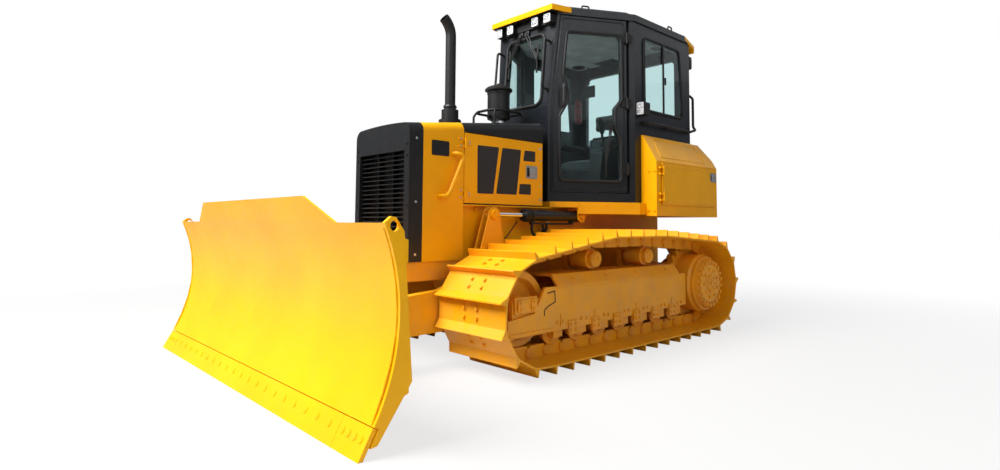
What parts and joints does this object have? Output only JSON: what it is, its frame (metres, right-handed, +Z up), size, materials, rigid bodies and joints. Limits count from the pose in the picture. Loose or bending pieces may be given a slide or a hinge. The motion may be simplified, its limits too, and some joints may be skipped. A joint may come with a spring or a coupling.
{
  "type": "crawler bulldozer",
  "caption": "Small wide-track crawler bulldozer with an enclosed cab and a power-angle-tilt blade; blade, cylinders and doors move.",
  "frame": {"origin": "on the ground, under the middle of the overall length and width", "axes": "+X forward towards the blade, +Y the machine's left, +Z up"},
  "size_m": [4.474, 3.024, 2.925],
  "materials": {
    "paint_yellow": "gloss paint",
    "paint_black": "satin paint",
    "cast_metal": "painted casting",
    "track_steel": "worn steel",
    "chrome_rod": "polished",
    "tinted_glass": "clear tinted",
    "seat_cloth": "woven",
    "black_plastic": "textured"
  },
  "bodies": {
    "machine": {"air_cleaner": "paint_black", "cab_floor": "paint_yellow", "cab_front": "paint_yellow", "cab_glass": "tinted_glass", "cab_rear": "paint_yellow", "cab_roof": "paint_yellow", "cab_sides": "paint_yellow", "consoles": "black_plastic", "deck": "paint_yellow", "drawbar": "paint_black", "engine_block": "cast_metal", "engine_frame": "paint_yellow", "engine_sides": "paint_yellow", "exhaust_stack": "paint_black", "final_drives": "paint_yellow", "front_hood": "paint_yellow", "fuel_tank": "paint_yellow", "grille": "paint_black", "grille_frame": "paint_black", "hand_rails": "paint_black", "hood_top": "paint_black", "idlers": "paint_yellow", "lifting_eyes": "paint_black", "main_case": "paint_yellow", "roof_cap": "paint_black", "seat_back": "seat_cloth", "seat_base": "black_plastic", "seat_cushion": "seat_cloth", "side_boxes": "paint_yellow", "sprockets": "paint_yellow", "track_frames": "paint_yellow", "track_left": "track_steel", "track_right": "track_steel", "track_rollers": "paint_yellow", "visor": "paint_black", "work_lamps": "black_plastic"},
    "cab_door_left": {"cab_door_left": "paint_yellow", "door_glass_left": "tinted_glass"},
    "engine_door_left": {"engine_door_left": "paint_yellow"},
    "box_door_left": {"box_door_left": "paint_yellow"},
    "lift_barrel_left": {"lift_barrel_left": "paint_yellow"},
    "lift_rod_left": {"lift_rod_left": "chrome_rod"},
    "angle_barrel_left": {"angle_barrel_left": "paint_yellow"},
    "angle_rod_left": {"angle_rod_left": "chrome_rod"},
    "cab_door_right": {"cab_door_right": "paint_yellow", "door_glass_right": "tinted_glass"},
    "engine_door_right": {"engine_door_right": "paint_yellow"},
    "box_door_right": {"box_door_right": "paint_yellow"},
    "lift_barrel_right": {"lift_barrel_right": "paint_yellow"},
    "lift_rod_right": {"lift_rod_right": "chrome_rod"},
    "angle_barrel_right": {"angle_barrel_right": "paint_yellow"},
    "angle_rod_right": {"angle_rod_right": "chrome_rod"},
    "push_frame": {"push_frame": "paint_yellow"},
    "blade_carrier": {"blade_carrier": "paint_yellow"},
    "blade": {"blade": "paint_yellow", "blade_bracket": "paint_yellow", "cutting_edge": "track_steel"},
    "tilt_barrel": {"tilt_barrel": "paint_yellow"},
    "tilt_rod": {"tilt_rod": "chrome_rod"}
  },
  "joints": [
    {"name": "blade_lift", "type": "hinge", "parent": "machine", "child": "push_frame", "pos_m": [0.43, 0, 0.47], "axis": [0, -1, 0], "range_deg": [-16, 28]},
    {"name": "blade_angle", "type": "hinge", "parent": "push_frame", "child": "blade_carrier", "pos_m": [1.7, 0, 0.38], "axis": [0, 0, 1], "range_deg": [-22, 22]},
    {"name": "blade_tilt", "type": "hinge", "parent": "blade_carrier", "child": "blade", "pos_m": [1.868, 0, 0.4], "axis": [1, 0, 0], "range_deg": [-8, 8]},
    {"name": "lift_barrel_left_swing", "type": "hinge", "parent": "machine", "child": "lift_barrel_left", "pos_m": [-0.48, 0.4, 1.041], "axis": [0, -1, 0], "range_deg": [-0.5, 0.8]},
    {"name": "lift_rod_left_slide", "type": "slide", "parent": "lift_barrel_left", "child": "lift_rod_left", "axis": [1, 0, 0.002], "range_m": [-0.285, 0.165]},
    {"name": "angle_barrel_left_swing", "type": "hinge", "parent": "push_frame", "child": "angle_barrel_left", "pos_m": [1.48, 0.25, 0.545], "axis": [0, 0, 1], "range_deg": [-26, 26]},
    {"name": "angle_rod_left_slide", "type": "slide", "parent": "angle_barrel_left", "child": "angle_rod_left", "axis": [0.6351, 0.7724, 0], "range_m": [-0.13, 0.13]},
    {"name": "cab_door_left_hinge", "type": "hinge", "parent": "machine", "child": "cab_door_left", "pos_m": [-0.82407, 0.6949, 1.2], "axis": [0, 0, 1], "range_deg": [0, 100]},
    {"name": "engine_door_left_hinge", "type": "hinge", "parent": "machine", "child": "engine_door_left", "pos_m": [0.762, 0.374, 1.2], "axis": [0, 0, -1], "range_deg": [0, 95]},
    {"name": "box_door_left_hinge", "type": "hinge", "parent": "machine", "child": "box_door_left", "pos_m": [-1.065, 0.909, 1.2], "axis": [0, 0, -1], "range_deg": [0, 90]},
    {"name": "lift_barrel_right_swing", "type": "hinge", "parent": "machine", "child": "lift_barrel_right", "pos_m": [-0.48, -0.4, 1.041], "axis": [0, -1, 0], "range_deg": [-0.5, 0.8]},
    {"name": "lift_rod_right_slide", "type": "slide", "parent": "lift_barrel_right", "child": "lift_rod_right", "axis": [1, 0, 0.002], "range_m": [-0.285, 0.165]},
    {"name": "angle_barrel_right_swing", "type": "hinge", "parent": "push_frame", "child": "angle_barrel_right", "pos_m": [1.48, -0.25, 0.545], "axis": [0, 0, 1], "range_deg": [-26, 26]},
    {"name": "angle_rod_right_slide", "type": "slide", "parent": "angle_barrel_right", "child": "angle_rod_right", "axis": [0.6351, -0.7724, 0], "range_m": [-0.13, 0.13]},
    {"name": "cab_door_right_hinge", "type": "hinge", "parent": "machine", "child": "cab_door_right", "pos_m": [-0.82407, -0.6949, 1.2], "axis": [0, 0, -1], "range_deg": [0, 100]},
    {"name": "engine_door_right_hinge", "type": "hinge", "parent": "machine", "child": "engine_door_right", "pos_m": [0.762, -0.374, 1.2], "axis": [0, 0, 1], "range_deg": [0, 95]},
    {"name": "box_door_right_hinge", "type": "hinge", "parent": "machine", "child": "box_door_right", "pos_m": [-1.065, -0.909, 1.2], "axis": [0, 0, 1], "range_deg": [0, 90]},
    {"name": "tilt_barrel_swing", "type": "hinge", "parent": "blade_carrier", "child": "tilt_barrel", "pos_m": [1.85, -0.43, 0.69], "axis": [1, 0, 0], "range_deg": [-4, 4]},
    {"name": "tilt_rod_slide", "type": "slide", "parent": "tilt_barrel", "child": "tilt_rod", "axis": [0, 0.9855, 0.1699], "range_m": [-0.055, 0.055]}
  ],
  "couplings": [
    {"joint": "lift_barrel_left_swing", "follows": "blade_lift", "ratio": 0.02},
    {"joint": "lift_rod_left_slide", "follows": "blade_lift", "m_per_rad": -0.568},
    {"joint": "angle_barrel_left_swing", "follows": "blade_angle", "ratio": 1.116},
    {"joint": "angle_rod_left_slide", "follows": "blade_angle", "m_per_rad": -0.318},
    {"joint": "lift_barrel_right_swing", "follows": "blade_lift", "ratio": 0.02},
    {"joint": "lift_rod_right_slide", "follows": "blade_lift", "m_per_rad": -0.568},
    {"joint": "angle_barrel_right_swing", "follows": "blade_angle", "ratio": 1.116},
    {"joint": "angle_rod_right_slide", "follows": "blade_angle", "m_per_rad": 0.318},
    {"joint": "tilt_barrel_swing", "follows": "blade_tilt", "ratio": 0.363},
    {"joint": "tilt_rod_slide", "follows": "blade_tilt", "m_per_rad": -0.359}
  ]
}
